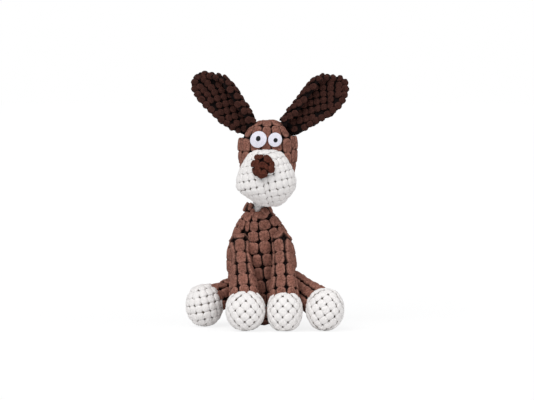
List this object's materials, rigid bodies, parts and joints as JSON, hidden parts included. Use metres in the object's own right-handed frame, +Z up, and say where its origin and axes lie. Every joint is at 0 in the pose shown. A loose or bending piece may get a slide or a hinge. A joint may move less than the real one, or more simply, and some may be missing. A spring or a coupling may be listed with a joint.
{
  "type": "plush dog toy",
  "caption": "Seated stuffed plush toy for dogs, with long ears, a rope neck, legs that swing and a squeaker in the belly.",
  "frame": {"origin": "middle of the toy's bounding box, on the floor that it sits on", "axes": "+Z up; the toy faces -Y; +X is the toy's own left-hand side as it is seen on the viewer's right"},
  "size_m": [0.1638, 0.1492, 0.2561],
  "materials": {
    "brown_plush": "chunky kernel plush, brown",
    "white_plush": "kernel plush, white",
    "chocolate_plush": "kernel plush, dark chocolate",
    "nose_plush": "kernel plush, reddish chocolate",
    "eye_thread": "embroidered thread, white",
    "pupil_thread": "embroidered thread, black",
    "cotton_rope": "twisted cotton rope, off-white",
    "fibre_fill": "loose polyester fibre, white",
    "squeaker_plastic": "soft moulded plastic, off-white",
    "reed_plastic": "thin moulded plastic, red"
  },
  "bodies": {
    "body": {"body_back_cover": "brown_plush", "chest_panel": "brown_plush", "body_stuffing": "fibre_fill", "squeaker_base": "squeaker_plastic", "squeaker_bellows": "squeaker_plastic", "squeaker_plug": "squeaker_plastic", "squeaker_reed": "reed_plastic"},
    "squeaker_top": {"squeaker_cap": "squeaker_plastic"},
    "neck": {"neck_rope": "cotton_rope"},
    "head": {"head_cover": "brown_plush", "muzzle_left_panel": "white_plush", "muzzle_right_panel": "white_plush", "head_stuffing": "fibre_fill", "nose_patch": "nose_plush", "eye_left": "eye_thread", "pupil_left": "pupil_thread", "eye_right": "eye_thread", "pupil_right": "pupil_thread"},
    "ear_left": {"ear_left_front_ply": "chocolate_plush", "ear_left_back_ply": "chocolate_plush"},
    "ear_right": {"ear_right_front_ply": "chocolate_plush", "ear_right_back_ply": "chocolate_plush"},
    "tail": {"tail_cover": "brown_plush", "tail_stuffing": "fibre_fill"},
    "front_left_leg": {"front_left_sleeve": "brown_plush", "front_left_paw": "white_plush", "front_left_stuffing": "fibre_fill"},
    "front_right_leg": {"front_right_sleeve": "brown_plush", "front_right_paw": "white_plush", "front_right_stuffing": "fibre_fill"},
    "hind_left_leg": {"hind_left_sleeve": "brown_plush", "hind_left_paw": "white_plush", "hind_left_stuffing": "fibre_fill"},
    "hind_right_leg": {"hind_right_sleeve": "brown_plush", "hind_right_paw": "white_plush", "hind_right_stuffing": "fibre_fill"}
  },
  "joints": [
    {"name": "neck_nod", "type": "hinge", "parent": "body", "child": "neck", "pos_m": [-0.00963, -0.00557, 0.10805], "axis": [1, 0, 0], "range_deg": [-14, 10], "stiffness_Nm_per_rad": 0.4},
    {"name": "head_turn", "type": "hinge", "parent": "neck", "child": "head", "pos_m": [-0.0058, -0.00557, 0.14787], "axis": [0.0958, 0, 0.9954], "range_deg": [-30, 30], "stiffness_Nm_per_rad": 0.05},
    {"name": "ear_left_flop", "type": "hinge", "parent": "head", "child": "ear_left", "pos_m": [-0.01784, 0.00128, 0.19987], "axis": [0.7176, -0.0502, 0.6947], "range_deg": [-60, 60], "stiffness_Nm_per_rad": 0.02},
    {"name": "ear_right_flop", "type": "hinge", "parent": "head", "child": "ear_right", "pos_m": [0.02407, -0.00165, 0.19983], "axis": [0.6675, -0.0467, -0.7431], "range_deg": [-60, 60], "stiffness_Nm_per_rad": 0.02},
    {"name": "front_left_swing", "type": "hinge", "parent": "body", "child": "front_left_leg", "pos_m": [-0.02658, -0.01857, 0.084], "axis": [1, 0, 0], "range_deg": [-65, 0]},
    {"name": "front_right_swing", "type": "hinge", "parent": "body", "child": "front_right_leg", "pos_m": [0.01492, -0.02357, 0.086], "axis": [1, 0, 0], "range_deg": [-65, 0]},
    {"name": "hind_left_splay", "type": "hinge", "parent": "body", "child": "hind_left_leg", "pos_m": [-0.03658, 0.00943, 0.031], "axis": [0, 0, 1], "range_deg": [-40, 5], "stiffness_Nm_per_rad": 0.03},
    {"name": "hind_right_splay", "type": "hinge", "parent": "body", "child": "hind_right_leg", "pos_m": [0.02842, 0.00243, 0.037], "axis": [0, 0, 1], "range_deg": [0, 45], "stiffness_Nm_per_rad": 0.03},
    {"name": "tail_swing", "type": "hinge", "parent": "body", "child": "tail", "pos_m": [-0.00358, 0.04443, 0.027], "axis": [0, 0, 1], "range_deg": [-25, 25], "stiffness_Nm_per_rad": 0.01},
    {"name": "squeaker_press", "type": "slide", "parent": "body", "child": "squeaker_top", "axis": [0, 0, -1], "range_m": [0, 0.008], "stiffness_N_per_m": 1200, "deforming": ["squeaker_bellows"]}
  ]
}
